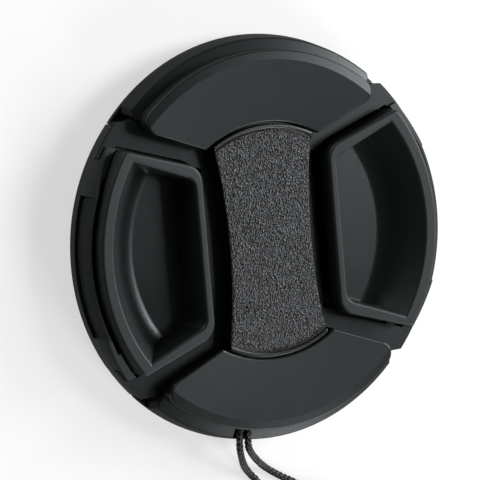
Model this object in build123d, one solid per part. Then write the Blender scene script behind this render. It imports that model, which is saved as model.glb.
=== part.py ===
from build123d import *
import os
from math import cos, pi, radians, sin, tan

os.makedirs("parts", exist_ok=True)

# Driving sizes in millimetres. The cap lies face up on z = 0, with +X towards the right-hand clip.
thread_r = 29.0  # radius of the lens's filter thread
travel = 2.5  # how far each clip is pinched inwards
slide_gap = 0.2  # running clearance between faces that slide
fit_gap = 0.15  # clearance round a piece that is laid or staked in place
wall = 1.3  # usual thickness of the mouldings

# Radii, from the thread outwards and inwards.
flange_r = thread_r + 1.0
spigot_r = thread_r - 0.55
spigot_in_r = spigot_r - 1.5
lug_in_r = spigot_r - 1.25
crescent_r = flange_r - 2.0
bevel_r = crescent_r - 1.4
cover_in_r = crescent_r - wall
rim_r = crescent_r + 0.2
rim_in_r = rim_r - 1.8
scoop_r = rim_in_r - 4.4  # foot of the finger well's sloping outer side
crack_r = rim_r + 0.25
lip_in_r = rim_r + 0.75
lip_r = flange_r - 0.5
grip_r = lip_r - 0.1
ring_r = flange_r - 0.35
slider_r = cover_in_r - 0.3
arc_r = 0.601 * thread_r  # inner edge of the crescents
inlay_r = arc_r - 0.33
inlay_lip = 0.9

# Heights, from the rear upwards.
seat_z = 2.4  # the flange's rear face, which rests on the lens's rim
rear_thick = 1.0
rear_top = seat_z - 0.1
slider_low = rear_top + slide_gap
well_floor = slider_low + 1.4
ledge_top = well_floor + 0.75
panel_low = ledge_top + slide_gap
panel_top = panel_low + 0.85
arm_low = panel_top + fit_gap
ring_step = seat_z + 1.0
ring_edge = panel_top + 0.3
ring_in = ring_edge + 0.5
inlay_low = panel_top + 1.3
inlay_face = inlay_low + 1.15
crescent_low = panel_top + 2.5  # the crescents' face at their inner edge
crescent_high = crescent_low + 0.55
crescent_edge = crescent_high - 0.3
skin = 1.2  # thickness of the crescents' face
wall_top = crescent_low + 0.4  # the clip's wall beside the middle
rim_top = crescent_low + 0.85
lip_top = crescent_low - 0.7
lip_end = arm_low + 0.25
groove_low = ledge_top + 0.2

# Plan of the crescents' side edges and of the clip, as lines y = start + slope * (x - line_x).
line_x = 12.0
side_start, side_slope = 15.71, 0.41
arm_start, arm_slope = 12.88, 0.34
well_start, well_slope = 10.81, 0.40
clip_x = 10.55  # the clip's wall beside the middle
well_x = clip_x + 1.25
well_foot_x = well_x + 1.5
well_taper = 8.0  # degrees
neck_x = well_x + 0.2  # inner face of the clip below its arms
neck_y = 15.4  # half the width of the clip's outer wall below its arms
trough_x = neck_x - travel - slide_gap  # the floor beside the middle ends here
trough_y = line_x + 1.0
waist_x = 6.9  # half the inlay's waist
waist_r = 82.0
panel_hide = 0.15  # the floor panels reach this far under the clip's arms
arm_tilt = (1 + arm_slope**2) ** 0.5
neck_inset = (panel_hide + slide_gap) * arm_tilt + travel * arm_slope

# Rounded corners and edges.
crescent_corner, hollow_corner, crescent_soft = 2.0, 1.0, 0.3
clip_soft, lip_soft, ring_soft, ring_corner, seat_soft, inlay_soft = 0.5, 0.12, 0.4, 0.7, 0.25, 0.35
arm_corner, neck_corner, well_corner, rim_corner = 3.0, 1.5, 1.8, 1.0

# The clip's flange, its lip, the ribbed hollow in that and the lug that catches the thread.
flange_half = 41.3  # degrees each side of the slide, as for the next two
groove_half = 26.5
grip_half = 20.5
grip_ribs, grip_rib_deep = 8, 0.15
lip_half_low, lip_half_top = 17.6, 10.5
core_half = 24.0
core_in, core_out = scoop_r + 1.1, rim_in_r - 0.6
lug_ribs = 2
ring_end = flange_r * sin(radians(flange_half)) + 2 * slide_gap  # the cover's ring stops at this y
ring_half = 43.5  # degrees each side of +Y and of -Y that the ring's raised part reaches
ring_reach = 60.0  # degrees that its lower part is turned over before it is cut off

# The slide, its springs and the staked posts.
spring_y, spring_z = arc_r + wall + 1.57, 5.4
spring_wire, spring_r, spring_turns = 0.35, 0.95, 4.5
spring_slack = 0.05
guide_y = spring_y + 1.7
guide_thick = 0.8
guide_x = 0.58 * cover_in_r
guide_top = crescent_low - skin / 2
peg_r, peg_long = 0.55, 1.2
ear_x, ear_thick, ear_wide, ear_tall = 9.0, 1.2, 2.6, 2.6
stop_half = 0.8
post_r, post_x = 0.8, 0.12 * thread_r
post_y = guide_y + slide_gap + post_r + fit_gap
head_r, head_thick = 1.4, 0.5
hub_x, hub_y, hub_post_y = 6.2, 14.0, 9.0

# The tether: a loop of thin cord whose two strands leave the rim side by side.
cord_d = 1.1
cord_space = 1.36
cord_turn = -103.0  # where it leaves the rim, in degrees from +X
cord_z = panel_top + 0.6
hole_room, hole_corner = 0.15, 0.4
stopper_r, stopper_drop = 1.25, 0.25
floor_z = cord_d / 2 + 0.02
tie_thick, tie_wide, tie_room, tie_turn = 0.25, 1.2, 0.08, -60.0
coil_in, coil_out, coil_tall = 4.6, 7.95, 2.2
coil_x, coil_away = 8.5, 19.0
coil_y = -flange_r - coil_away


def turned(points, half_angle=180.0, middle=0.0):
    """Solid turned about Z from (r, z) points, over a sector centred on an angle in degrees."""
    face = Plane.XZ * make_face(Polyline(*points, close=True))
    return Rot(0, 0, middle - half_angle) * revolve(face, Axis.Z, 2 * half_angle)


def sector(inner, outer, low, high, half_angle):
    """Part of a plain ring about Z, centred on +X."""
    return turned([(inner, low), (outer, low), (outer, high), (inner, high)], half_angle)


def prism(sketch, low, high):
    return extrude(Pos(0, 0, low) * sketch, amount=high - low)


def block(x0, x1, y0, y1, z0, z1):
    return Pos((x0 + x1) / 2, (y0 + y1) / 2, (z0 + z1) / 2) * Box(x1 - x0, y1 - y0, z1 - z0)


def rod(radius, x, y, low, high):
    return Pos(x, y, (low + high) / 2) * Cylinder(radius, high - low)


def both_ends(shape):
    """The shape, made at the +Y end, with its copy at the -Y end."""
    return shape + mirror(shape, Plane.XZ)


def radius_of(vertex):
    return (vertex.X**2 + vertex.Y**2) ** 0.5


def line_y(start, slope, x):
    return start + slope * (x - line_x)


def beyond_lines(start, slope, inner_x):
    """Plan area on the +Y side of two mirrored sloping lines that a level one joins at inner_x."""
    far = 2 * flange_r
    level = line_y(start, slope, inner_x)
    edge = line_y(start, slope, far)
    corners = [(-far, edge), (-inner_x, level), (inner_x, level), (far, edge)]
    return make_face(Polyline(*corners, (far, 2 * far), (-far, 2 * far), close=True))


def between_lines(start, slope, inner_x, inner_round, outer_r, outer_round):
    """Plan area between two mirrored sloping lines, from inner_x out to a circle, with round corners."""
    far = 2 * flange_r
    level = line_y(start, slope, inner_x)
    edge = line_y(start, slope, far)
    area = make_face(Polyline((inner_x, -level), (far, -edge), (far, edge), (inner_x, level), close=True))
    area = fillet([v for v in area.vertices() if v.X < inner_x + 1], inner_round)
    area = area & Circle(outer_r)
    return fillet([v for v in area.vertices() if abs(radius_of(v) - outer_r) < 0.01], outer_round)


def waisted(half_wide, end_r):
    """Plan of the middle: a band of a disc, with hollow sides."""
    band = Circle(end_r) & Rectangle(3 * half_wide, 3 * end_r)
    for side in (-1, 1):
        band -= Pos(side * (half_wide + waist_r), 0) * Circle(waist_r)
    return band


def crescent_plan(inset, corner):
    """Plan of the +Y crescent, or of its hollow, which lies inset from it all round."""
    lift = inset * (1 + side_slope**2) ** 0.5
    area = beyond_lines(side_start + lift, side_slope, hub_x) & Circle(crescent_r - inset)
    area -= Circle(arc_r + inset)
    return fillet([v for v in area.vertices() if radius_of(v) > crescent_r - inset - 0.01], corner)


def crescent_block(low, drop):
    """Turned block under the crescents' dished and bevelled face, lowered by drop."""
    rise = (crescent_high - crescent_low) / (bevel_r - arc_r)
    fall = (crescent_high - crescent_edge) / (crescent_r - bevel_r)
    inner, outer = arc_r - 1, crescent_r + 1
    face = [(outer, crescent_edge - fall - drop), (bevel_r, crescent_high - drop)]
    return turned([(inner, low), (outer, low)] + face + [(inner, crescent_low - rise - drop)])


def ring_plan(inner, outer):
    """Plan of a ring beside the +Y crescent that stops short of the clips."""
    beyond = Pos(0, ring_end + flange_r) * Rectangle(4 * flange_r, 2 * flange_r)
    return (Circle(outer) - Circle(inner)) & beyond


def ring_sector():
    """The ring beside the +Y crescent and the spigot behind it, which enters the lens."""
    fall = (ring_in - ring_edge) / (ring_r - crescent_r)
    inner_high = ring_edge + fall * (ring_r - cover_in_r)
    outside = [(flange_r - seat_soft, seat_z), (flange_r, seat_z + seat_soft), (flange_r, ring_step)]
    inside = [(ring_r, ring_edge), (cover_in_r, inner_high), (cover_in_r, seat_z)]
    ring = turned(outside + inside, ring_reach, 90)
    ring = ring & block(-flange_r, flange_r, ring_end, 2 * flange_r, 0, 2 * rim_top)
    notch = sector(cover_in_r - 1, 2 * flange_r, ring_step, rim_top, (ring_reach - ring_half) / 2)
    for way in (-1, 1):
        ring -= Rot(0, 0, 90 + way * (ring_reach + ring_half) / 2) * notch
    tall = [e for e in ring.edges() if abs((e @ 0).Z - (e @ 1).Z) > ring_edge - ring_step - 0.1]
    ring = chamfer([e for e in tall if radius_of(e @ 0.5) > crescent_r + 1], ring_corner)
    rim = [e for e in ring.edges() if min((e @ 0).Z, (e @ 1).Z) > ring_edge - 0.1]
    ring = fillet([e for e in rim if max(radius_of(e @ 0), radius_of(e @ 1)) > crescent_r + 0.5], ring_soft)
    low = rear_top - rear_thick - 2 * head_thick
    spigot = prism(ring_plan(spigot_in_r, spigot_r), low, ring_step - seat_soft)
    lead = [e for e in spigot.edges() if (e @ 0.5).Z < low + 0.01 and radius_of(e @ 0.5) > spigot_r - 0.01]
    return ring + chamfer(lead, seat_soft)


def post_places():
    """Plan places of the staked posts at the +Y end."""
    return [(-post_x, post_y), (0, post_y), (post_x, post_y), (0, hub_post_y)]


def posts():
    head_top = rear_top - rear_thick
    made = Part()
    for x, y in post_places():
        root = inlay_low if y < arc_r else guide_top
        made += rod(post_r, x, y, head_top - head_thick, root)
        made += rod(head_r, x, y, head_top - head_thick, head_top)
    return made


def pegs(x, way):
    """Pegs that the two springs on one side sit over, pointing along X."""
    peg = Pos(x + way * peg_long / 2, spring_y, spring_z) * Rot(0, 90, 0) * Cylinder(peg_r, peg_long)
    return both_ends(peg)


def cord_hole():
    """Slot through the bottom wall, and notch in the ring, for the two strands."""
    wide = cord_space + cord_d + 2 * hole_room
    low = cord_z - cord_d / 2 - hole_room
    high = cord_z + cord_d / 2 + 3 * hole_room
    out = Vector(cos(radians(cord_turn)), sin(radians(cord_turn)), 0)
    middle = out * (cover_in_r - 1) + Vector(0, 0, (low + high) / 2)
    face = Plane(origin=middle, x_dir=Vector(0, 0, 1), z_dir=out)
    return extrude(face * RectangleRounded(high - low, wide, hole_corner), amount=flange_r)


def panel_plan():
    """Plan of the +Y end's floor panels, with the tabs that meet the clips' outer walls."""
    below = Rectangle(4 * flange_r, 2 * ring_end)
    plan = beyond_lines(arm_start - panel_hide * arm_tilt, arm_slope, hub_x) & Circle(flange_r)
    tab = (Circle(flange_r) - Circle(crack_r)) & below
    tab = tab & (Pos(0, neck_y + slide_gap + flange_r) * Rectangle(4 * flange_r, 2 * flange_r))
    return (plan & (below + Circle(cover_in_r))) + tab


def crescent_shell():
    shell = prism(crescent_plan(0, crescent_corner), panel_low, rim_top) & crescent_block(panel_low, 0)
    rims = [e for e in shell.edges() if (e @ 0.5).Z > crescent_low - 0.8]
    return fillet([e for e in rims if abs(radius_of(e @ 0.5) - bevel_r) > 0.05], crescent_soft)


def front_cover():
    hollow = prism(crescent_plan(wall, hollow_corner), rear_top, rim_top) & crescent_block(rear_top - 1, skin)
    end = crescent_shell() + prism(panel_plan(), panel_low, panel_top) + ring_sector() - hollow
    guide_in = guide_y + slide_gap
    end += block(-guide_x, guide_x, guide_in, guide_in + guide_thick, slider_low, guide_top)
    end += block(-stop_half, stop_half, arc_r + wall, guide_in, slider_low, guide_top)
    bridge = prism(waisted(waist_x - seat_soft, arc_r + wall / 2), rail_low(), inlay_low)
    bridge += block(-trough_x, trough_x, -trough_y, trough_y, panel_low, panel_top)
    bridge += block(-hub_x, hub_x, -hub_y, hub_y, rear_top, inlay_low)
    bridge -= block(wall - hub_x, hub_x - wall, wall - hub_y, hub_y - wall, 0, inlay_low - wall)
    cover = both_ends(end) + bridge + both_ends(posts()) + pegs(stop_half, 1) + pegs(-stop_half, -1)
    return cover - cord_hole()


def rail_low():
    """Underside of what the clips slide beneath."""
    return well_floor + slide_gap


def centre_inlay():
    plan = waisted(waist_x, inlay_r)
    plate = prism(plan, inlay_low, inlay_face)
    sides = [e for e in plate.edges() if (e @ 0.5).Z > inlay_face - 0.01 and abs((e @ 0.5).Y) < 1]
    lips = waisted(waist_x + inlay_soft, inlay_r) & plan
    lips = prism(lips - Circle(inlay_r - inlay_lip), inlay_low, inlay_face + 0.2)
    return fillet(sides, inlay_soft) + lips


def lip():
    """Lip round the outside of the clip: it slopes down to its ends."""
    plan = between_lines(arm_start, arm_slope, clip_x, arm_corner, flange_r, seat_soft) - Circle(crack_r)
    ends = [(-lip_half_low, arm_low), (lip_half_low, arm_low), (lip_half_low, lip_end)]
    ends += [(lip_half_top, lip_top), (-lip_half_top, lip_top), (-lip_half_low, lip_end)]
    shape = make_face(Polyline(*ends, close=True))
    shape = fillet([v for v in shape.vertices() if v.Y > lip_end + 0.1], arm_corner)
    raised = prism(plan, arm_low, rim_top) & extrude(Plane.YZ * shape, amount=2 * flange_r) & outer_draft()
    edges = [e for e in raised.edges() if (e @ 0.5).Z > lip_end + 0.1 and abs((e @ 0).Y - (e @ 1).Y) > 1]
    return fillet(edges, lip_soft)


def outer_draft():
    """Turned body that gives the clip's outer wall its draft."""
    far = 2 * rim_top
    return turned([(0, -1), (flange_r, -1), (flange_r, ledge_top), (lip_r, lip_top), (lip_r, far), (0, far)])


def scoop():
    """The finger well: steep at the arms, leaning towards the middle and sloping up to the rim."""
    far = 2 * flange_r
    near = line_y(well_start, well_slope, well_x)
    edge = line_y(well_start, well_slope, far)
    mouth = make_face(Polyline((well_x, -near), (far, -edge), (far, edge), (well_x, near), close=True))
    deep = rim_top - well_floor
    room = extrude(Pos(0, 0, rim_top) * mouth, amount=-deep, taper=well_taper)
    lean = [(well_x, rim_top), (well_foot_x, well_floor), (far, well_floor), (far, rim_top)]
    room = room & extrude(Plane.XZ * make_face(Polyline(*lean, close=True)), amount=flange_r, both=True)
    room = room & turned([(0, well_floor), (scoop_r, well_floor), (rim_in_r, rim_top), (0, rim_top)])
    steep = [e for e in room.edges() if abs((e @ 0).Z - (e @ 1).Z) > deep / 2]
    return fillet([e for e in steep if (e @ 0.5).X < well_foot_x + 1], well_corner)


def core():
    """Hollow under the scoop's slope, open to the rear, which keeps the moulding to an even wall."""
    rise = (rim_top - well_floor) / (rim_in_r - scoop_r)
    low = slider_low - 1
    high_in = well_floor + (core_in - scoop_r) * rise - 1.5 * wall
    high_out = well_floor + (core_out - scoop_r) * rise - 1.5 * wall
    return turned([(core_in, low), (core_out, low), (core_out, high_out), (core_in, high_in)], core_half)


def grip_hollow():
    """Space in front of the ribbed grip."""
    low = well_floor
    pitch = (lip_top - low) / grip_ribs
    edge = [(2 * flange_r, low), (grip_r, low)]
    for rib in range(grip_ribs):
        foot = low + rib * pitch
        edge += [(grip_r, foot + 0.45 * pitch), (grip_r - grip_rib_deep, foot + 0.7 * pitch)]
        edge += [(grip_r, foot + 0.95 * pitch)]
    edge[-1] = (grip_r, lip_top - lip_soft)
    edge += [(grip_r - lip_soft, lip_top), (grip_r - lip_soft, rim_top), (2 * flange_r, rim_top)]
    return turned(edge, grip_half)


def groove():
    """Deep groove between the clip's rim and its lip, with the crack that goes on beyond its ends."""
    wide = sector(rim_r, lip_in_r, groove_low, rim_top + 1, groove_half)
    return wide + sector(rim_r, crack_r, arm_low - slide_gap, rim_top + 1, flange_half)


def flange_and_lug():
    """The clip's share of the flange, and the lug under it that catches the lens's thread."""
    inner = slider_r - slide_gap
    flange = [(inner, seat_z), (flange_r - seat_soft, seat_z), (flange_r, seat_z + seat_soft)]
    flange += [(flange_r, ledge_top), (inner, ledge_top)]
    pitch = (seat_z - slide_gap) / lug_ribs
    lug = [(lug_in_r, 0), (spigot_r, 0)]
    for rib in range(lug_ribs):
        lug += [(thread_r, (rib + 0.45) * pitch), (spigot_r, (rib + 0.95) * pitch)]
    lug += [(spigot_r, seat_z + seat_soft), (lug_in_r, seat_z + seat_soft)]
    return turned(flange, flange_half) + turned(lug, flange_half)


def slider():
    """Plate that runs behind the cover, with an ear for each spring."""
    plan = (Pos(clip_x + flange_r / 2, 0) * Rectangle(flange_r, 2 * guide_y)) & Circle(slider_r)
    low, high = spring_y - ear_wide / 2, spring_y + ear_wide / 2
    ear = block(ear_x, clip_x + 1, low, guide_y, slider_low, well_floor)
    ear += block(ear_x, ear_x + ear_thick, low, high, slider_low, well_floor + ear_tall)
    return prism(plan, slider_low, well_floor) + both_ends(ear) + pegs(ear_x, -1)


def clip():
    """The right-hand clip."""
    lean = (rim_top - wall_top) / (rim_r - clip_x)
    top = Plane(origin=(clip_x, 0, wall_top), x_dir=(1, 0, lean), z_dir=(-lean, 0, 1))
    arms = between_lines(arm_start, arm_slope, clip_x, arm_corner, rim_r, rim_corner)
    neck = between_lines(arm_start - neck_inset, arm_slope, neck_x, neck_corner, rim_r, seat_soft)
    back = Pos(flange_r, 0) * Rectangle(2 * flange_r, 2 * neck_y)
    back = back & (Circle(flange_r) - Circle(rim_r - slide_gap))
    body = prism(arms, arm_low, rim_top + 1) + prism(neck + back, slider_low, arm_low)
    body = body + slider() + flange_and_lug() - scoop() - core()
    body = split(body, bisect_by=top, keep=Keep.BOTTOM)
    edges = [e for e in body.edges() if abs(top.to_local_coords(e.center()).Z) < 0.02]
    body = (fillet(edges, clip_soft) & outer_draft()) + lip()
    return body - groove() - grip_hollow()


def rear_plate():
    plate_r = lug_in_r - 2 * fit_gap
    plan = (Pos(travel, 0) * Circle(plate_r)) & (Pos(-travel, 0) * Circle(plate_r))
    plan = plan & Circle(spigot_in_r - fit_gap)
    for x, y in post_places():
        for side in (-1, 1):
            plan -= Pos(x, side * y) * Circle(post_r + fit_gap)
    return prism(plan, rear_top - rear_thick, rear_top)


def spring():
    """The spring of the right-hand clip's upper ear, from the cover's stop to the ear."""
    room = ear_x - stop_half - spring_wire - 2 * spring_slack
    coil = Helix(room / spring_turns, room, spring_r)
    wire = sweep(Plane(coil @ 0, z_dir=coil % 0) * Circle(spring_wire / 2), path=coil, is_frenet=True)
    return Pos(stop_half + spring_wire / 2 + spring_slack, spring_y, spring_z) * Rot(0, 90, 0) * wire


def cord_point(radius, side):
    """Plan place of a strand where it runs straight out through the wall."""
    a = radians(cord_turn)
    shift = side * cord_space / 2
    return radius * cos(a) - shift * sin(a), radius * sin(a) + shift * cos(a)


def strand_route(side):
    """Points of a strand from the stopper to the coil: side is -1 for the left one, 1 for the right."""
    start = cord_point(cover_in_r - 0.5, side) + (cord_z,)
    edge = cord_point(flange_r + 0.2, side) + (cord_z + 0.5,)
    y = -flange_r
    left = [(-5.84, y - 2.4, 4.2), (-3.4, y - 5.1, 0.75), (-1.2, y - 7.4, floor_z), (0.35, y - 11.0, floor_z)]
    left += [(1.2, y - 15.6, floor_z + tie_thick)]
    right = [(-4.1, y - 1.9, 4.2), (-0.6, y - 4.9, 0.8), (2.3, y - 7.0, floor_z), (4.9, y - 8.5, floor_z)]
    right += [(7.3, y - 10.5, floor_z + 0.4), (10.2, y - 11.7, floor_z + tie_thick + cord_d)]
    return [start, edge] + (left if side < 0 else right)


def strand(side):
    points = [Vector(*p) for p in strand_route(side)]
    runs = [b - a for a, b in zip(points, points[1:])]
    radii = []
    for a, b in zip(runs, runs[1:]):
        radii.append(0.45 * min(a.length, b.length) / tan(radians(a.get_angle(b)) / 2))
    path = FilletPolyline(*points, radius=radii)
    tube = sweep(Plane(path @ 0, z_dir=path % 0) * Circle(cord_d / 2), path=path)
    ideal = pi * cord_d**2 / 4 * path.length
    print("strand", side, "radii", [round(r, 1) for r in radii], "length", round(path.length, 1))
    print("  volume over section times length", round(tube.volume / ideal, 4))
    return tube


def tether_stopper():
    x, y = cord_point(cover_in_r - stopper_r - spring_slack, 0)
    return Pos(x, y, cord_z - stopper_drop) * Sphere(stopper_r)


def tether_coil():
    low, high = tie_thick, tie_thick + coil_tall
    soft = cord_d / 2
    edge = [(coil_in + soft, low), (coil_out - soft, low), (coil_out, low + soft), (coil_out, high - soft)]
    edge += [(coil_out - soft, high), (coil_in + soft, high), (coil_in, high - soft), (coil_in, low + soft)]
    return Pos(coil_x, coil_y, 0) * turned(edge)


def tether_tie():
    high = tie_thick + coil_tall + tie_room
    near, far = coil_in - tie_room, coil_out + tie_room
    band = block(near - tie_thick, far + tie_thick, -tie_wide / 2, tie_wide / 2, 0, high + tie_thick)
    around = block(near, far, -tie_wide, tie_wide, tie_thick, high)
    return Pos(coil_x, coil_y, 0) * Rot(0, 0, tie_turn) * (band - around)


def all_parts():
    right = clip()
    upper = spring()
    lower = Pos(0, -2 * spring_y, 0) * upper
    return {
        "front_cover": front_cover(),
        "centre_inlay": centre_inlay(),
        "rear_plate": rear_plate(),
        "right_clip": right,
        "left_clip": mirror(right, Plane.YZ),
        "right_upper_spring": upper,
        "right_lower_spring": lower,
        "left_upper_spring": Rot(0, 0, 180) * lower,
        "left_lower_spring": Rot(0, 0, 180) * upper,
        "tether_strand_left": strand(-1),
        "tether_strand_right": strand(1),
        "tether_stopper": tether_stopper(),
        "tether_coil": tether_coil(),
        "tether_tie": tether_tie(),
    }


for name, shape in all_parts().items():
    export_step(shape, f"parts/{name}.step")
    print(name, len(shape.solids()), round(shape.volume, 2))
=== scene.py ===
import math

import bpy
from mathutils import Matrix, Vector


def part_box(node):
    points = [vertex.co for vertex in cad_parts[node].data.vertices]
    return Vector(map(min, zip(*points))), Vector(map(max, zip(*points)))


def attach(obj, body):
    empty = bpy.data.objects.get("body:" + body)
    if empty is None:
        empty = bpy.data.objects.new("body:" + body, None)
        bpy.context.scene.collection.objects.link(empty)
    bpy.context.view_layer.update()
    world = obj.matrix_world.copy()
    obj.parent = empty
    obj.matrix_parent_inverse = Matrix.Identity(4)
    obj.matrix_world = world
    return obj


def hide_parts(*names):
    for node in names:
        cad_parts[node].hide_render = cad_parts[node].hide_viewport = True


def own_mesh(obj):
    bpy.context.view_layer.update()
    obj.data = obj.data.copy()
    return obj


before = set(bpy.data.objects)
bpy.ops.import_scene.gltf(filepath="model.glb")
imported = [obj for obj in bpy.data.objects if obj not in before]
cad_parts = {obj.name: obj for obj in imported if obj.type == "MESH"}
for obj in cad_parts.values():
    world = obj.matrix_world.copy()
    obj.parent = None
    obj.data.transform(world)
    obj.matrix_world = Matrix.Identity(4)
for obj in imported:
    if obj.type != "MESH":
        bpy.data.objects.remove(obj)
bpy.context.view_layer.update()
MM = 0.001

bl_info = {
    "name": "Pinch Lens Cap",
    "version": (1, 0, 0),
    "blender": (4, 5, 0),
    "location": "View3D > Sidebar > Lens Cap",
    "description": "Dresses a centre-pinch lens cap: mouldings, grained inlay, braided tether and stage",
    "category": "Object",
}

# Places of the tether's two strands, in millimetres: from the stopper to the coil.
LEFT_STRAND = [
    (-6.56, -25.38, 6.3),
    (-7.46, -29.27, 6.8),
    (-5.84, -32.4, 4.2),
    (-3.4, -35.1, 0.75),
    (-1.2, -37.4, 0.57),
    (0.35, -41.0, 0.57),
    (1.1, -44.8, 0.7),
]
RIGHT_STRAND = [
    (-5.23, -25.69, 6.3),
    (-6.13, -29.58, 6.8),
    (-4.1, -31.9, 4.2),
    (-0.6, -34.9, 0.8),
    (2.3, -37.0, 0.57),
    (4.9, -38.5, 0.57),
    (7.3, -40.5, 0.97),
    (9.4, -41.5, 1.7),
]
COIL_CENTRE = (8.5, -49.0)

# Plan of a clip's arms, in millimetres: half width ARM_START at x = ARM_X, then ARM_SLOPE outwards.
ARM_X, ARM_START, ARM_SLOPE = 12.0, 12.88, 0.34
CLIP_X, ARM_CORNER = 10.55, 3.0

# Clearance slot round the arms, in millimetres: its width and its reach from the axis. It cuts the
# floor panels and goes a little past them.
SLOT_GAP, SLOT_REACH = 0.42, 28.35
PANEL_LOW, PANEL_TOP = 4.85, 5.7
CUT_BELOW, CUT_ABOVE = 0.2, 0.1

# Finger wells, in millimetres: floor, radius of the slope's foot, the rounding there and its steps.
WELL_FLOOR, SCOOP_RADIUS, FOOT_ROUND, FOOT_STEPS = 3.9, 22.0, 1.4, 8

# Blocks at the four corners, in millimetres: the clips' flange ends and the cover's webs.
FLANGE_END, FLANGE_END_SIZE = (21.5, 19.3, 3.5), (1.88, 1.0, 2.0)
WEB, WEB_SIZE, WEB_ROUND = (20.0, 20.0, 3.68), (4.44, 0.24, 2.44), 0.06

# Inlay, in millimetres: step of its mesh, width of its end lips, the groove inside them and the
# grain's fade there.
INLAY_STEP, LIP_WIDTH = 0.09, 0.7
GROOVE_EDGE, GROOVE_BED, GROOVE_DEPTH = 0.22, 0.06, 0.24
GRAIN_FADE = 0.25

# Finishes, in millimetres: radii between which the outer wall turns matt, heights between which a clip's
# worn well passes into its rim, and how far in an edge is rubbed and painted lighter as a highlight.
MATT_WALL, WORN_HEIGHTS, RUBBED_AND_LIT_EDGE = (27.6, 28.6), (5.0, 7.8), 0.25

# Corners this close are one corner. Faces within FLAT are one face. Edges past CREASE stay sharp, and
# on the inlay those past GRAIN_CREASE.
MERGE = 0.0005 * MM
FLAT, CREASE, GRAIN_CREASE = math.radians(0.2), math.radians(28), math.radians(60)

# Softboxes: azimuth and elevation in degrees, distance and size in metres, power in watts. They face
# LIGHT_AIM, and the world adds a little light from all round.
SOFTBOXES = {
    "key_softbox": (14.0, 25.0, 0.7, 0.25, 4.2),
    "high_softbox": (5.0, 47.0, 0.7, 0.22, 2.3),
    "low_softbox": (-60.0, 26.0, 0.7, 0.25, 2.8),
    "left_fill": (122.0, 9.0, 0.7, 0.25, 1.9),
}
LIGHT_AIM = (0, 0, 8.0 * MM)
WORLD_LIGHT = 0.12

# Floor: its side in metres, and the share of its own light that camera and reflections see.
FLOOR_SIDE, FLOOR_GLOW = 6.0, 0.6

# Camera, in millimetres: where it stands, what it looks at, about which way is up, its sensor and lens.
EYE, LOOK_AT, UP_HINT = (-237.77, 79.59, 433.57), (-5.174, 0.893, 8.17), (0.0954, 1, 0)
SENSOR, LENS = 36.0, 253.3


class CapSizes(bpy.types.PropertyGroup):
    """Sizes that a user would change."""

    cord_diameter: bpy.props.FloatProperty(
        name="Tether Diameter",
        description="Thickness of the tether cord",
        default=1.1 * MM,
        unit="LENGTH",
    )
    braid_lay: bpy.props.FloatProperty(
        name="Braid Lay",
        description="Length in which a yarn goes once round the tether",
        default=3.3 * MM,
        unit="LENGTH",
    )
    grain_cell: bpy.props.FloatProperty(
        name="Grain Cell",
        description="Width of one lump of the inlay's grain",
        default=0.34 * MM,
        unit="LENGTH",
    )
    grain_depth: bpy.props.FloatProperty(
        name="Grain Depth",
        description="Height of the inlay's grain",
        default=0.24 * MM,
        unit="LENGTH",
    )


class CapColours(bpy.types.PropertyGroup):
    """Colours that a user would change."""

    plastic: bpy.props.FloatVectorProperty(
        name="Plastic",
        description="Moulded plastic of the cover and clips",
        subtype="COLOR",
        default=(0.007, 0.0081, 0.0083),
    )
    inlay: bpy.props.FloatVectorProperty(
        name="Inlay",
        description="Grained plate in the middle",
        subtype="COLOR",
        default=(0.0125, 0.0128, 0.0132),
    )
    cord: bpy.props.FloatVectorProperty(
        name="Tether",
        description="Braided tether",
        subtype="COLOR",
        default=(0.006, 0.006, 0.006),
    )
    steel: bpy.props.FloatVectorProperty(
        name="Spring Wire",
        description="Drawn wire of the springs",
        subtype="COLOR",
        default=(0.52, 0.51, 0.49),
    )


def principled(name, specular):
    """A new material with its Principled shader, for a function that gives it a finish."""
    material = bpy.data.materials.new(name)
    material.use_nodes = True
    shader = material.node_tree.nodes["Principled BSDF"]
    shader.inputs["Specular IOR Level"].default_value = specular
    return material, material.node_tree, shader


def wire(tree, made, **sockets):
    """Links each named input of a node to a socket, or sets it to a value: _0 is the first input."""
    for name, value in sockets.items():
        socket = made.inputs[int(name[1:]) if name[0] == "_" else name.replace("_", " ")]
        if isinstance(value, bpy.types.NodeSocket):
            tree.links.new(value, socket)
        else:
            socket.default_value = value
    return made


def node(tree, kind, settings=None, **sockets):
    """A new node with the given settings and inputs."""
    made = tree.nodes.new(kind)
    for name, value in (settings or {}).items():
        setattr(made, name, value)
    return wire(tree, made, **sockets)


def maths(tree, operation, a, b=0.0, c=0.0):
    """The result of an operation on up to three numbers."""
    return node(tree, "ShaderNodeMath", {"operation": operation}, _0=a, _1=b, _2=c).outputs[0]


def vector(tree, operation, a, **sockets):
    """The result of an operation on vectors: a number for a length or a dot product."""
    made = node(tree, "ShaderNodeVectorMath", {"operation": operation}, _0=a, **sockets)
    return made.outputs["Value" if operation in ("LENGTH", "DOT_PRODUCT") else "Vector"]


def remap(tree, value, span, to=(0.0, 1.0)):
    """A value carried smoothly from one span to another, and held at the ends."""
    ends = {"From_Min": span[0], "From_Max": span[1], "To_Min": to[0], "To_Max": to[1]}
    smooth = {"interpolation_type": "SMOOTHSTEP"}
    return node(tree, "ShaderNodeMapRange", smooth, Value=value, **ends).outputs["Result"]


def noise(tree, place, waves, detail, **sockets):
    """Noise with about so many waves in a metre."""
    made = node(tree, "ShaderNodeTexNoise", Vector=place, Scale=waves, Detail=detail, **sockets)
    return made.outputs[0]


def wave(tree, place, settings, **sockets):
    """Bands or rings, as the settings say."""
    return node(tree, "ShaderNodeTexWave", settings, Vector=place, **sockets).outputs["Fac"]


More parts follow.
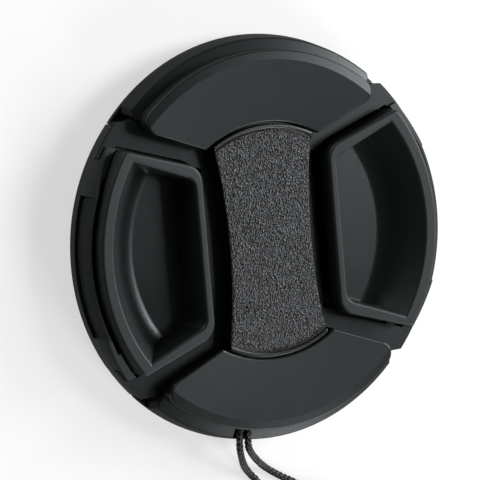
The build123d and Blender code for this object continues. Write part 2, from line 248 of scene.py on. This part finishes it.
def bump(tree, height, strength, depth, **sockets):
    """A normal raised by a height: depth is in millimetres."""
    lift = {"Strength": strength, "Distance": depth * MM, "Height": height}
    return node(tree, "ShaderNodeBump", **lift, **sockets).outputs[0]


def scaled(tree, colour, gain):
    """A colour made lighter or darker by a gain."""
    return vector(tree, "SCALE", colour, Scale=gain)


def object_place(tree):
    """Places on the object, in metres."""
    return node(tree, "ShaderNodeTexCoord").outputs["Object"]


def from_axis(tree, place):
    """Distance of a place from the cap's axis."""
    return vector(tree, "LENGTH", vector(tree, "MULTIPLY", place, _1=(1, 1, 0)))


def node_group(name, kind, inputs, outputs):
    """An empty node group with the named sockets: its tree, what it is given and its output node."""
    tree = bpy.data.node_groups.new(name, kind)
    for label, socket, value in inputs:
        made = tree.interface.new_socket(label, in_out="INPUT", socket_type=socket)
        if value is not None:
            made.default_value = value
    for label, socket in outputs:
        tree.interface.new_socket(label, in_out="OUTPUT", socket_type=socket)
    return tree, tree.nodes.new("NodeGroupInput").outputs, tree.nodes.new("NodeGroupOutput")


def mould_group():
    """Shared finish of the mouldings: spark grain, soft smears, dust, edges lighter from rubbing and a
    painted highlight, a matt outer wall.
    """
    if "mould_finish" in bpy.data.node_groups:
        return bpy.data.node_groups["mould_finish"]
    inputs = [
        ("Colour", "NodeSocketColor", (0.01, 0.01, 0.01, 1)),
        ("Roughness", "NodeSocketFloat", 0.45),
        ("Grain", "NodeSocketFloat", 0.2),
    ]
    outputs = [
        ("Colour", "NodeSocketColor"),
        ("Roughness", "NodeSocketFloat"),
        ("Normal", "NodeSocketVector"),
    ]
    tree, given, result = node_group("mould_finish", "ShaderNodeTree", inputs, outputs)
    coordinates = node(tree, "ShaderNodeTexCoord").outputs
    place = coordinates["Object"]
    upright = node(tree, "ShaderNodeSeparateXYZ", _0=coordinates["Normal"]).outputs["Z"]
    steep = remap(tree, maths(tree, "ABSOLUTE", upright), (0.8, 0.4))
    outside = remap(tree, from_axis(tree, place), [r * MM for r in MATT_WALL])
    wall = maths(tree, "MULTIPLY", steep, outside)
    spark = noise(tree, place, waves=4600.0, detail=2.0, Roughness=0.6)
    smear = noise(tree, place, waves=70.0, detail=4.0, Roughness=0.6)
    dust = remap(tree, noise(tree, place, waves=2300.0, detail=1.0), (0.72, 0.8))
    flat = node(tree, "ShaderNodeNewGeometry").outputs["Normal"]
    eased = node(tree, "ShaderNodeBevel", {"samples": 4}, Radius=RUBBED_AND_LIT_EDGE * MM).outputs[0]
    rubbed_edge_and_highlight = remap(tree, vector(tree, "DOT_PRODUCT", flat, _1=eased), (0.995, 0.88))
    # Smears, dust and edges lighten the colour, each by its own share; the edges' share is rubbing plus a
    # painted highlight.
    gain = maths(tree, "MULTIPLY_ADD", smear, 0.3, 0.85)
    gain = maths(tree, "MULTIPLY_ADD", dust, 0.8, gain)
    # Painted highlight: the edge band is lightened as well as rubbed.
    gain = maths(tree, "MULTIPLY_ADD", rubbed_edge_and_highlight, 0.5, gain)
    # Smears go both ways, edges are rubbed smoother and the outer wall is matt.
    smear = maths(tree, "SUBTRACT", smear, 0.5)
    rough = maths(tree, "MULTIPLY_ADD", smear, 0.12, given["Roughness"])
    rough = maths(tree, "MULTIPLY_ADD", rubbed_edge_and_highlight, -0.04, rough)
    rough = maths(tree, "MULTIPLY_ADD", wall, 0.5, rough)
    raised = bump(tree, spark, given["Grain"], depth=0.02)
    wire(tree, result, Colour=scaled(tree, given["Colour"], gain), Roughness=rough, Normal=raised)
    return tree


def moulded(name, colour, roughness, grain, specular=0.27):
    """Black moulded plastic with the shared finish."""
    material, tree, shader = principled(name, specular)
    shader.inputs["Specular Tint"].default_value = (0.88, 0.97, 1.0, 1.0)
    finish = node(tree, "ShaderNodeGroup", {"node_tree": mould_group()})
    wire(tree, finish, Colour=(*colour, 1), Roughness=roughness, Grain=grain)
    made = finish.outputs
    wire(tree, shader, Base_Color=made["Colour"], Roughness=made["Roughness"], Normal=made["Normal"])
    return material


def finger_worn(name, colour, roughness, grain):
    """The clips' plastic: the shared finish, smoother in the finger well and coarser on its rim."""
    material = moulded(name, colour, roughness, grain, specular=0.36)
    tree = material.node_tree
    shader = tree.nodes["Principled BSDF"]
    height = node(tree, "ShaderNodeSeparateXYZ", _0=object_place(tree)).outputs["Z"]
    change = remap(tree, height, [z * MM for z in WORN_HEIGHTS], to=(-0.09, 0.14))
    shared = shader.inputs["Roughness"].links[0].from_socket
    wire(tree, shader, Roughness=maths(tree, "ADD", shared, change))
    return material


def turned_marks(name, colour):
    """The rear plate's matt plastic: rings left by the turned mould, over the shared finish."""
    material = moulded(name, colour, roughness=0.55, grain=0.3)
    tree = material.node_tree
    shader = tree.nodes["Principled BSDF"]
    turned = {"wave_type": "RINGS", "rings_direction": "Z"}
    rings = wave(tree, object_place(tree), turned, Scale=420.0, Distortion=0.4)
    shared = shader.inputs["Normal"].links[0].from_socket
    wire(tree, shader, Normal=bump(tree, rings, strength=0.25, depth=0.03, Normal=shared))
    return material


def drawn_steel(name, colour):
    """Spring wire with fine drawing marks and a little tarnish."""
    material, tree, shader = principled(name, specular=0.5)
    place = object_place(tree)
    marks = noise(tree, place, waves=9000.0, detail=2.0)
    tarnish = noise(tree, place, waves=420.0, detail=4.0)
    tint = scaled(tree, colour, remap(tree, tarnish, (0.35, 0.7), to=(1.0, 0.72)))
    rough = remap(tree, tarnish, (0.3, 0.7), to=(0.24, 0.4))
    raised = bump(tree, marks, strength=0.2, depth=0.01)
    wire(tree, shader, Base_Color=tint, Metallic=1.0, Roughness=rough, Normal=raised)
    return material


def grained_leatherette(name, colour):
    """The inlay's finish: hollows between lumps darker from dust and painted shade, lump tops lighter from
    rubbing and a painted highlight, and smooth end lips.
    """
    material, tree, shader = principled(name, specular=0.5)
    shader.inputs["Specular Tint"].default_value = (0.91, 0.94, 0.98, 1.0)
    height = node(tree, "ShaderNodeAttribute", {"attribute_name": "grain"}).outputs["Fac"]
    pores = noise(tree, object_place(tree), waves=4200.0, detail=2.0)
    # Painted shade darkens the hollows and painted highlight lightens the lump tops, on top of some dust
    # and rubbing.
    tint = scaled(tree, colour, remap(tree, height, (0.2, 0.8), to=(0.05, 1.8)))
    # The lips have no grain, so a height near zero is theirs.
    lip_heights = (0.02, 0.08)
    smoother = remap(tree, height, lip_heights, to=(0.24, 0.0))
    rough = remap(tree, height, (0.15, 0.8), to=(0.55, 0.26))
    rough = maths(tree, "SUBTRACT", rough, smoother)
    coarse = remap(tree, height, lip_heights, to=(0.05, 0.9))
    raised = bump(tree, pores, strength=coarse, depth=0.11)
    wire(tree, shader, Base_Color=tint, Roughness=rough, Normal=raised)
    return material


def braided_yarn(name, colour):
    """Filament yarn: fine lines along each yarn and a dry sheen."""
    material, tree, shader = principled(name, specular=0.4)
    along = node(tree, "ShaderNodeUVMap", {"uv_map": "yarn"}).outputs[0]
    across = {"bands_direction": "Y"}
    fibre = wave(tree, along, across, Scale=2.2, Distortion=1.2, Detail=2.0)
    tint = scaled(tree, colour, remap(tree, fibre, (0.1, 0.9), to=(0.6, 1.4)))
    raised = bump(tree, fibre, strength=0.5, depth=0.02)
    wire(tree, shader, Base_Color=tint, Roughness=0.42, Sheen_Weight=0.02, Normal=raised)
    return material


def knotted_cord(name, colour):
    """The stopper's finish: the braid's crossing yarns, over a ball."""
    material, tree, shader = principled(name, specular=0.35)
    place = object_place(tree)
    warp = wave(tree, place, {"bands_direction": "DIAGONAL"}, Scale=900.0, Distortion=1.5)
    weft = wave(tree, place, {"bands_direction": "Z"}, Scale=900.0, Distortion=1.5)
    cross = maths(tree, "MAXIMUM", warp, weft)
    tint = scaled(tree, colour, remap(tree, cross, (0.2, 0.9), to=(0.5, 1.3)))
    raised = bump(tree, cross, strength=0.8, depth=0.12)
    wire(tree, shader, Base_Color=tint, Roughness=0.6, Normal=raised)
    return material


def dress(name, material):
    """Gives a CAD node its finish."""
    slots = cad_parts[name].data.materials
    slots.clear()
    slots.append(material)


def edit(context, piece):
    """Opens a piece in edit mode, with nothing else selected."""
    bpy.ops.object.select_all(action="DESELECT")
    piece.select_set(True)
    context.view_layer.objects.active = piece
    bpy.ops.object.mode_set(mode="EDIT")


def merged_copy(context, name, source):
    """A new piece with a CAD node's shape, its doubled corners merged and its own edges kept sharp."""
    piece = bpy.data.objects.new(name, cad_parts[source].data.copy())
    context.scene.collection.objects.link(piece)
    edit(context, piece)
    bpy.ops.mesh.select_all(action="SELECT")
    bpy.ops.mesh.remove_doubles(threshold=MERGE, use_sharp_edge_from_normals=True)
    bpy.ops.mesh.customdata_custom_splitnormals_clear()
    bpy.ops.mesh.normals_make_consistent(inside=False)
    bpy.ops.object.mode_set(mode="OBJECT")
    piece.data.materials.clear()
    return piece


def add_block(middle, lengths):
    """Adds a block to the piece that is open in edit mode, in millimetres."""
    bpy.ops.mesh.primitive_cube_add(size=MM, location=[c * MM for c in middle], scale=lengths)


def apply_modifier(context, piece, name, kind, **settings):
    """Gives a piece a modifier with the given settings, and applies it."""
    modifier = piece.modifiers.new(name, kind)
    for setting, value in settings.items():
        setattr(modifier, setting, value)
    context.view_layer.objects.active = piece
    bpy.ops.object.modifier_apply(modifier=name)


def steady_normals(context, piece):
    """Smooth shading that large flat faces hold straight, with the real edges kept sharp."""
    edit(context, piece)
    bpy.ops.object.mode_set(mode="OBJECT")
    bpy.ops.object.shade_smooth_by_angle(angle=CREASE, keep_sharp_edges=True)
    weighing = {"mode": "FACE_AREA", "weight": 50, "keep_sharp": True}
    apply_modifier(context, piece, "Flat Faces", "WEIGHTED_NORMAL", **weighing)


def finish_piece(piece, body, slot, material, *nodes):
    """Gives a piece its finish, makes it ride on its body and hides the CAD nodes it stands for."""
    piece.data.materials.append(material)
    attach(piece, body)
    if nodes:
        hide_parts(*nodes)


def on_foot(point):
    """Whether a point, in metres, lies on the line where a well's slope meets its floor."""
    radius_slack, height_slack = 0.05, 0.02
    place = point / MM
    on_line = abs(place.xy.length - SCOOP_RADIUS) < radius_slack
    return on_line and abs(place.z - WELL_FLOOR) < height_slack


class LENSCAP_OT_clips(bpy.types.Operator):
    """Makes the two sliding clips, with closed flange ends and a rounded foot under each well's slope"""

    bl_idname = "lenscap.clips"
    bl_label = "Make Clips"

    def execute(self, context):
        plastic = context.scene.lenscap_colours.plastic
        material = finger_worn("clip_satin_black", plastic, roughness=0.36, grain=0.18)
        x, y, z = FLANGE_END
        for side, way in (("left", -1), ("right", 1)):
            piece = merged_copy(context, side + "_pinch_clip", side + "_clip")
            edit(context, piece)
            for end in (-y, y):
                add_block((way * x, end, z), FLANGE_END_SIZE)
            bpy.ops.mesh.select_all(action="SELECT")
            bpy.ops.mesh.dissolve_limited(angle_limit=FLAT)
            bpy.ops.mesh.select_all(action="DESELECT")
            bpy.ops.object.mode_set(mode="OBJECT")
            mesh = piece.data
            for e in mesh.edges:
                e.select = all(on_foot(mesh.vertices[v].co) for v in e.vertices)
            if not any(e.select for e in mesh.edges):
                raise RuntimeError("the well's slope has no foot in " + side)
            edit(context, piece)
            bpy.ops.mesh.select_mode(type="EDGE")
            bpy.ops.mesh.bevel(
                offset=FOOT_ROUND * MM, segments=FOOT_STEPS, affect="EDGES", clamp_overlap=False
            )
            bpy.ops.object.mode_set(mode="OBJECT")
            steady_normals(context, piece)
            finish_piece(piece, side + "_clip", "clip", material, side + "_clip")
        return {"FINISHED"}


def clip_outline(gap, outer):
    """Plan points of a clip's arms, widened by a gap: the right-hand clip's, in millimetres."""
    tilt = math.hypot(1, ARM_SLOPE)
    start = ARM_START + gap * tilt
    lean = math.atan(ARM_SLOPE)
    inner, radius = CLIP_X - gap, ARM_CORNER + gap
    edge_y = start + ARM_SLOPE * (inner + radius - ARM_X)
    centre = Vector((inner + radius, edge_y - radius * tilt))
    upper = []
    corner_steps, half_arc_steps, creep = 10, 12, 0.02
    for i in range(corner_steps + 1):
        angle = math.pi - (math.pi / 2 - lean) * i / corner_steps
        upper.append(centre + Vector((math.cos(angle), math.sin(angle))) * radius)
    far = outer
    while math.hypot(far, start + ARM_SLOPE * (far - ARM_X)) > outer:
        far -= creep
    reach = math.atan2(start + ARM_SLOPE * (far - ARM_X), far)
    arc = []
    for i in range(2 * half_arc_steps + 1):
        angle = reach * (1 - i / half_arc_steps)
        arc.append(Vector((math.cos(angle), math.sin(angle))) * outer)
    lower = [Vector((p.x, -p.y)) for p in reversed(upper)]
    return upper + arc + lower


def slot_cutter(context, outline, way):
    """A prism on the arms' outline that cuts through the panels: way is 1 on the right, -1 on the left."""
    plan = [(way * p.x * MM, p.y * MM) for p in outline]
    low = [(x, y, (PANEL_LOW - CUT_BELOW) * MM) for x, y in plan]
    high = [(x, y, (PANEL_TOP + CUT_ABOVE) * MM) for x, y in plan]
    count = len(plan)
    faces = [tuple(range(count)), tuple(range(count, 2 * count))]
    faces += [(i, (i + 1) % count, count + (i + 1) % count, count + i) for i in range(count)]
    mesh = bpy.data.meshes.new("arm_slot")
    mesh.from_pydata(low + high, [], faces)
    cutter = bpy.data.objects.new("arm_slot", mesh)
    context.scene.collection.objects.link(cutter)
    edit(context, cutter)
    bpy.ops.mesh.select_all(action="SELECT")
    bpy.ops.mesh.normals_make_consistent(inside=False)
    bpy.ops.object.mode_set(mode="OBJECT")
    return cutter


class LENSCAP_OT_cover(bpy.types.Operator):
    """Makes the front cover, with the slots round the clips' arms cut through its floor panels"""

    bl_idname = "lenscap.cover"
    bl_label = "Make Cover"

    def execute(self, context):
        piece = merged_copy(context, "cap_cover", "front_cover")
        outline = clip_outline(SLOT_GAP, SLOT_REACH)
        for way in (1, -1):
            cutter = slot_cutter(context, outline, way)
            cut = {"operation": "DIFFERENCE", "object": cutter, "solver": "EXACT"}
            apply_modifier(context, piece, "Arm Slot", "BOOLEAN", **cut)
            bpy.data.meshes.remove(cutter.data)
        edit(context, piece)
        bpy.ops.mesh.select_all(action="SELECT")
        bpy.ops.mesh.remove_doubles(threshold=MERGE)
        bpy.ops.mesh.dissolve_limited(angle_limit=FLAT)
        bpy.ops.object.mode_set(mode="OBJECT")
        steady_normals(context, piece)
        plastic = context.scene.lenscap_colours.plastic
        material = moulded("cover_satin_black", plastic, roughness=0.35, grain=0.22)
        finish_piece(piece, "cover", "cover", material, "front_cover")
        return {"FINISHED"}


class LENSCAP_OT_rear(bpy.types.Operator):
    """Gives the rear plate its matt finish"""

    bl_idname = "lenscap.rear"
    bl_label = "Finish Rear Plate"

    def execute(self, context):
        dress("rear_plate", turned_marks("rear_matt_black", context.scene.lenscap_colours.plastic))
        return {"FINISHED"}


class LENSCAP_OT_webs(bpy.types.Operator):
    """Closes the four corners between the cover's floor panels and its ring with small webs"""

    bl_idname = "lenscap.webs"
    bl_label = "Close Corners"

    def execute(self, context):
        webs = bpy.data.objects.new("corner_webs", bpy.data.meshes.new("corner_webs"))
        context.scene.collection.objects.link(webs)
        edit(context, webs)
        x, y, z = WEB
        for corner in ((-x, -y, z), (-x, y, z), (x, -y, z), (x, y, z)):
            add_block(corner, WEB_SIZE)
        bpy.ops.mesh.select_all(action="SELECT")
        bpy.ops.mesh.bevel(offset=WEB_ROUND * MM, segments=2, affect="EDGES")
        bpy.ops.mesh.normals_make_consistent(inside=False)
        bpy.ops.object.mode_set(mode="OBJECT")
        finish_piece(webs, "cover", "cover", bpy.data.materials["cover_satin_black"])
        return {"FINISHED"}


class LENSCAP_OT_springs(bpy.types.Operator):
    """Makes the four wire springs from their CAD nodes, in drawn steel"""

    bl_idname = "lenscap.springs"
    bl_label = "Make Springs"

    def execute(self, context):
        steel = drawn_steel("spring_wire", context.scene.lenscap_colours.steel)
        for side in ("left", "right"):
            for end in ("upper", "lower"):
                source = f"{side}_{end}_spring"
                piece = merged_copy(context, f"{side}_{end}_coil", source)
                bpy.ops.object.shade_smooth(keep_sharp_edges=True)
                finish_piece(piece, "cover", "spring", steel, source)
                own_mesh(piece)
        return {"FINISHED"}


def grain_nodes(sizes, lip_from):
    """Geometry nodes that raise the grain on upward faces, cut the grooves and keep the grain's height."""
    inputs = [("Geometry", "NodeSocketGeometry", None)]
    outputs = [("Geometry", "NodeSocketGeometry")]
    tree, given, result = node_group("leather_grain", "GeometryNodeTree", inputs, outputs)
    place = node(tree, "GeometryNodeInputPosition").outputs[0]
    normal = node(tree, "GeometryNodeInputNormal").outputs[0]
    cells = 1 / sizes.grain_cell
    drift = node(tree, "ShaderNodeTexNoise", Vector=place, Scale=0.8 * cells, Detail=1.0)
    drift = vector(tree, "SUBTRACT", drift.outputs["Color"], _1=(0.5, 0.5, 0.5))
    drift = vector(tree, "SCALE", drift, Scale=0.9 * sizes.grain_cell)
    bent = vector(tree, "ADD", place, _1=drift)
    edges = {"feature": "DISTANCE_TO_EDGE"}
    lumps = node(tree, "ShaderNodeTexVoronoi", edges, Vector=bent, Scale=cells).outputs["Distance"]
    lumps = maths(tree, "MULTIPLY", remap(tree, lumps, (0.0, 0.34)), 0.62)
    fine = maths(tree, "MULTIPLY", noise(tree, place, waves=2.2 * cells, detail=2.0), 0.45)
    height = maths(tree, "ADD", lumps, fine)
    upward = node(tree, "ShaderNodeSeparateXYZ", _0=normal).outputs["Z"]
    level = remap(tree, upward, (0.6, 0.95))
    away = from_axis(tree, place)
    inside = remap(tree, away, (lip_from, lip_from - GRAIN_FADE * MM))
    mask = maths(tree, "MULTIPLY", level, inside)
    # A height of 0.6 stays where the plate's face is.
    lift = maths(tree, "MULTIPLY", maths(tree, "SUBTRACT", height, 0.6), sizes.grain_depth)
    lift = maths(tree, "MULTIPLY", lift, mask)
    groove = maths(tree, "ABSOLUTE", maths(tree, "SUBTRACT", away, lip_from))
    groove = remap(tree, groove, (GROOVE_EDGE * MM, GROOVE_BED * MM))
    groove = maths(tree, "MULTIPLY", groove, level)
    lift = maths(tree, "SUBTRACT", lift, maths(tree, "MULTIPLY", groove, GROOVE_DEPTH * MM))
    offset = vector(tree, "SCALE", normal, Scale=lift)
    moved = node(tree, "GeometryNodeSetPosition", Geometry=given["Geometry"], Offset=offset).outputs[0]
    on_points = {"data_type": "FLOAT", "domain": "POINT"}
    kept = node(tree, "GeometryNodeStoreNamedAttribute", on_points, Geometry=moved, Name="grain")
    wire(tree, kept, Value=maths(tree, "MULTIPLY", height, mask))
    wire(tree, result, Geometry=kept.outputs[0])
    return tree


class LENSCAP_OT_inlay(bpy.types.Operator):
    """Raises the leather grain on the plate in the middle"""

    bl_idname = "lenscap.inlay"
    bl_label = "Grain Inlay"

    def execute(self, context):
        sizes = context.scene.lenscap_sizes
        plate = merged_copy(context, "grained_inlay", "centre_inlay")
        apply_modifier(context, plate, "Fine Mesh", "REMESH", mode="VOXEL", voxel_size=INLAY_STEP * MM)
        lip_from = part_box("centre_inlay")[1][1] - LIP_WIDTH * MM
        apply_modifier(context, plate, "Grain", "NODES", node_group=grain_nodes(sizes, lip_from))
        # The underside is made one flat face again.
        steepest_under = -0.9
        for face in plate.data.polygons:
            face.select = face.normal.z < steepest_under
        bpy.ops.object.mode_set(mode="EDIT")
        bpy.ops.mesh.select_mode(type="FACE")
        bpy.ops.mesh.delete(type="FACE")
        bpy.ops.mesh.select_mode(type="EDGE")
        bpy.ops.mesh.select_non_manifold()
        bpy.ops.mesh.edge_face_add()
        bpy.ops.object.mode_set(mode="OBJECT")
        bpy.ops.object.shade_smooth_by_angle(angle=GRAIN_CREASE)
        material = grained_leatherette("inlay_leatherette", context.scene.lenscap_colours.inlay)
        finish_piece(plate, "cover", "inlay", material, "centre_inlay")
        return {"FINISHED"}


def coil_turns():
    """Points of the coil, in millimetres: inwards along the lower layer, then outwards along the upper."""
    per_turn = 16
    turns = 3.3
    inner, outer = 5.2, 7.4
    low, high = 0.82, 1.9
    start = math.radians(170)
    points = []
    steps = int(per_turn * turns)
    for layer, (r0, r1, z) in enumerate(((outer, inner, low), (inner, outer, high))):
        for i in range(steps):
            share = i / (steps - 1)
            angle = start + math.tau * (layer * turns + share * turns * (steps - 1) / steps)
            radius = r0 + (r1 - r0) * share
            x = COIL_CENTRE[0] + radius * math.cos(angle)
            y = COIL_CENTRE[1] + radius * math.sin(angle)
            points.append((x, y, z))
    return points


def tether_path():
    """Points along the tether, read from the smooth curve through its route."""
    route = LEFT_STRAND + coil_turns() + RIGHT_STRAND[::-1]
    curve = bpy.data.curves.new("tether_route", "CURVE")
    curve.dimensions = "3D"
    spline = curve.splines.new("NURBS")
    spline.points.add(len(route) - 1)
    for point, (x, y, z) in zip(spline.points, route):
        point.co = (x * MM, y * MM, z * MM, 1)
    spline.order_u = 3
    spline.use_endpoint_u = True
    curve.resolution_u = 11
    holder = bpy.data.objects.new("tether_route", curve)
    mesh = bpy.data.meshes.new_from_object(holder)
    points = [v.co.copy() for v in mesh.vertices]
    bpy.data.objects.remove(holder)
    bpy.data.meshes.remove(mesh)
    bpy.data.curves.remove(curve)
    return points


def frames_along(points):
    """Length so far, place and two steady side vectors, at each point."""
    made = []
    side = Vector((0, 0, 1))
    length = 0.0
    last = len(points) - 1
    for i, point in enumerate(points):
        along = (points[min(i + 1, last)] - points[max(i - 1, 0)]).normalized()
        side = (side - along * side.dot(along)).normalized()
        length += (point - points[i - 1]).length if i else 0.0
        made.append((length, point, side, along.cross(side)))
    return made


class TubeMesh:
    """Vertices, faces, lengthwise UV and material numbers of the tubes that make up the tether."""

    def __init__(self):
        self.verts = []
        self.faces = []
        self.uvs = []
        self.materials = []

    def add(self, rings, material):
        """A closed tube through rings of (length, points)."""
        first = len(self.verts)
        sides = len(rings[0][1])
        for _, ring in rings:
            self.verts += ring
        for i in range(len(rings) - 1):
            u0, u1 = rings[i][0] / MM, rings[i + 1][0] / MM
            for j in range(sides):
                a, b = first + i * sides + j, first + i * sides + (j + 1) % sides
                self.faces.append((a, b, b + sides, a + sides))
                v0, v1 = j / sides, (j + 1) / sides
                self.uvs.append(((u0, v0), (u0, v1), (u1, v1), (u1, v0)))
                self.materials.append(material)
        for start, order in ((first, -1), (first + (len(rings) - 1) * sides, 1)):
            self.faces.append(tuple(range(start, start + sides))[::order])
            self.uvs.append(((0.0, 0.0),) * sides)
            self.materials.append(material)

    def object(self, context, name, materials):
        """The tubes as one new object, smooth all over."""
        mesh = bpy.data.meshes.new(name)
        mesh.from_pydata(self.verts, [], self.faces)
        layer = mesh.uv_layers.new(name="yarn")
        layer.data.foreach_set("uv", [c for face in self.uvs for corner in face for c in corner])
        mesh.polygons.foreach_set("material_index", self.materials)
        mesh.polygons.foreach_set("use_smooth", [True] * len(self.faces))
        for material in materials:
            mesh.materials.append(material)
        made = bpy.data.objects.new(name, mesh)
        context.scene.collection.objects.link(made)
        return made


def braid(points, diameter, lay):
    """Eight yarns, four each way round, that pass over and under one another about a plain core."""
    yarns, sides, core_sides = 4, 5, 6
    thick, flat = 0.15 * diameter, 0.21 * diameter
    middle = diameter / 2 - thick
    weave = 0.055 * diameter
    tubes = TubeMesh()
    places = frames_along(points)
    for way in (1, -1):
        for yarn in range(yarns):
            rings = []
            for length, centre, side, over in places:
                turn = math.tau * length / lay
                angle = way * turn + math.tau * yarn / yarns
                out = side * math.cos(angle) + over * math.sin(angle)
                around = over * math.cos(angle) - side * math.sin(angle)
                heart = centre + out * (middle + way * weave * math.cos(yarns * turn))
                ring = []
                for k in range(sides):
                    a = math.tau * k / sides
                    ring.append(heart + out * (thick * math.cos(a)) + around * (flat * math.sin(a)))
                rings.append((length, ring))
            tubes.add(rings, 0)
    rings = []
    spokes = [math.tau * k / core_sides for k in range(core_sides)]
    for length, centre, side, over in places:
        ring = [centre + (side * math.cos(a) + over * math.sin(a)) * middle for a in spokes]
        rings.append((length, ring))
    tubes.add(rings, 1)
    return tubes


class LENSCAP_OT_tether(bpy.types.Operator):
    """Braids the tether: out of the rim, through its coil and back, with its stopper and tie"""

    bl_idname = "lenscap.tether"
    bl_label = "Braid Tether"

    def execute(self, context):
        sizes = context.scene.lenscap_sizes
        colour = context.scene.lenscap_colours.cord
        points = tether_path()
        yarn = braided_yarn("braid_yarn", colour)
        core = knotted_cord("braid_core", [0.5 * c for c in colour])
        tubes = braid(points, sizes.cord_diameter, sizes.braid_lay)
        cord = tubes.object(context, "tether_cord", (yarn, core))
        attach(cord, "cover")
        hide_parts("tether_strand_left", "tether_strand_right", "tether_coil")
        dress("tether_stopper", knotted_cord("stopper_braid", colour))
        dress("tether_tie", moulded("tie_vinyl", colour, roughness=0.5, grain=0.4))
        return {"FINISHED"}


def pale_floor(name):
    """White floor: camera and reflections see it partly lit by itself, and it keeps the shadow."""
    material, tree, shader = principled(name, specular=0.2)
    paper = noise(tree, object_place(tree), waves=400.0, detail=3.0)
    rough = remap(tree, paper, (0.3, 0.7), to=(0.85, 0.95))
    wire(tree, shader, Base_Color=(0.93, 0.93, 0.93, 1), Roughness=rough)
    ray = node(tree, "ShaderNodeLightPath").outputs
    seen = maths(tree, "MAXIMUM", ray["Is Camera Ray"], ray["Is Glossy Ray"])
    seen = maths(tree, "MAXIMUM", seen, ray["Is Transmission Ray"])
    glow = node(tree, "ShaderNodeEmission", Color=(1, 1, 1, 1), Strength=1.0)
    share = maths(tree, "MULTIPLY", seen, FLOOR_GLOW)
    mix = node(tree, "ShaderNodeMixShader", Fac=share, _1=shader.outputs[0], _2=glow.outputs[0])
    wire(tree, tree.nodes["Material Output"], Surface=mix.outputs[0])
    return material


def set_softbox(scene, name, azimuth, elevation, distance, size, power):
    """A square lamp that shines on the cap from the given side."""
    az, el = math.radians(azimuth), math.radians(elevation)
    away = Vector((math.cos(el) * math.cos(az), math.cos(el) * math.sin(az), math.sin(el)))
    lamp = bpy.data.lights.new(name, "AREA")
    lamp.shape = "SQUARE"
    lamp.size = size
    lamp.energy = power
    holder = bpy.data.objects.new(name, lamp)
    scene.collection.objects.link(holder)
    holder.location = Vector(LIGHT_AIM) + away * distance
    holder.rotation_euler = away.to_track_quat("Z", "Y").to_euler()


def set_camera(scene):
    """The camera, at the photograph's viewing angle."""
    eye = Vector(EYE) * MM
    back = (eye - Vector(LOOK_AT) * MM).normalized()
    right = Vector(UP_HINT).cross(back).normalized()
    up = back.cross(right)
    camera = bpy.data.cameras.new("photo_camera")
    camera.sensor_width = SENSOR
    camera.lens = LENS
    camera.clip_start = 0.01
    holder = bpy.data.objects.new("photo_camera", camera)
    scene.collection.objects.link(holder)
    holder.matrix_world = Matrix((right, up, back)).transposed().to_4x4()
    holder.location = eye
    scene.camera = holder


class LENSCAP_OT_stage(bpy.types.Operator):
    """Sets the floor, the lights and the camera"""

    bl_idname = "lenscap.stage"
    bl_label = "Set Stage"

    def execute(self, context):
        scene = context.scene
        scene.view_settings.view_transform = "Standard"
        world = bpy.data.worlds.new("studio_world")
        scene.world = world
        world.use_nodes = True
        background = world.node_tree.nodes["Background"]
        wire(world.node_tree, background, Color=(1, 1, 1, 1), Strength=WORLD_LIGHT)
        bpy.ops.object.select_all(action="DESELECT")
        bpy.ops.mesh.primitive_plane_add(size=FLOOR_SIDE)
        floor = context.object
        floor.name = "studio_floor"
        floor.data.materials.append(pale_floor("white_floor"))
        for name, softbox in SOFTBOXES.items():
            set_softbox(scene, name, *softbox)
        set_camera(scene)
        return {"FINISHED"}


class LENSCAP_PT_panel(bpy.types.Panel):
    """Lists the sizes, colours and pieces"""

    bl_idname = "LENSCAP_PT_panel"
    bl_label = "Lens Cap"
    bl_space_type = "VIEW_3D"
    bl_region_type = "UI"
    bl_category = "Lens Cap"

    def draw(self, context):
        layout = self.layout
        for group in (context.scene.lenscap_sizes, context.scene.lenscap_colours):
            for name in group.__annotations__:
                layout.prop(group, name)
        for operator in OPERATORS:
            layout.operator(operator.bl_idname)


OPERATORS = (
    LENSCAP_OT_stage,
    LENSCAP_OT_cover,
    LENSCAP_OT_webs,
    LENSCAP_OT_clips,
    LENSCAP_OT_rear,
    LENSCAP_OT_springs,
    LENSCAP_OT_inlay,
    LENSCAP_OT_tether,
)
CLASSES = (CapSizes, CapColours) + OPERATORS + (LENSCAP_PT_panel,)


def register():
    for cls in CLASSES:
        bpy.utils.register_class(cls)
    bpy.types.Scene.lenscap_sizes = bpy.props.PointerProperty(type=CapSizes)
    bpy.types.Scene.lenscap_colours = bpy.props.PointerProperty(type=CapColours)


def unregister():
    del bpy.types.Scene.lenscap_colours
    del bpy.types.Scene.lenscap_sizes
    for cls in reversed(CLASSES):
        bpy.utils.unregister_class(cls)


def main():
    """Makes the stage and every piece."""
    register()
    bpy.ops.lenscap.stage()
    bpy.ops.lenscap.cover()
    bpy.ops.lenscap.webs()
    bpy.ops.lenscap.clips()
    bpy.ops.lenscap.rear()
    bpy.ops.lenscap.springs()
    bpy.ops.lenscap.inlay()
    bpy.ops.lenscap.tether()


if __name__ == "__main__":
    main()
